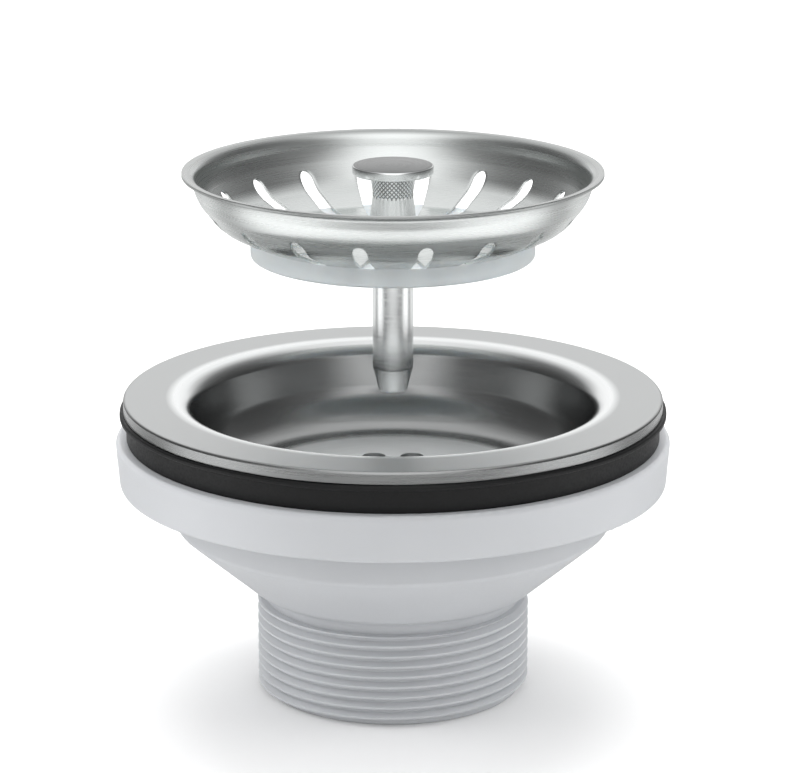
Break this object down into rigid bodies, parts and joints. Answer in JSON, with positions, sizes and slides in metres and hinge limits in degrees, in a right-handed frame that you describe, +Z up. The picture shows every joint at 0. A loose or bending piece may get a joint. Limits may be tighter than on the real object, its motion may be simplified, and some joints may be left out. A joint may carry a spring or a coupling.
{
  "type": "sink waste",
  "caption": "Kitchen sink basket waste: pressed steel flange and cup on a stepped plastic body with a threaded outlet, and a lift-out slotted strainer basket with knob, seal and post.",
  "frame": {"origin": "centre of the outlet's end face, which the waste stands on", "axes": "+Z up along the waste's axis, towards the flange and basket"},
  "size_m": [0.1204, 0.1204, 0.1167],
  "materials": {
    "pressed_steel": "satin",
    "bright_metal": "polished",
    "black_rubber": "matte",
    "white_plastic": "satin",
    "nut_brass": "machined",
    "clear_silicone": "satin"
  },
  "bodies": {
    "waste": {"flange_cup": "pressed_steel", "sink_gasket": "black_rubber", "waste_body": "white_plastic", "centre_bolt": "bright_metal", "hub_nut": "nut_brass"},
    "basket": {"strainer_basket": "pressed_steel", "knob": "bright_metal", "post": "bright_metal", "stopper_seal": "clear_silicone"}
  },
  "joints": [
    {"name": "basket_lift", "type": "slide", "parent": "waste", "child": "basket", "axis": [0, 0, 1], "range_m": [-0.0497, 0]}
  ]
}
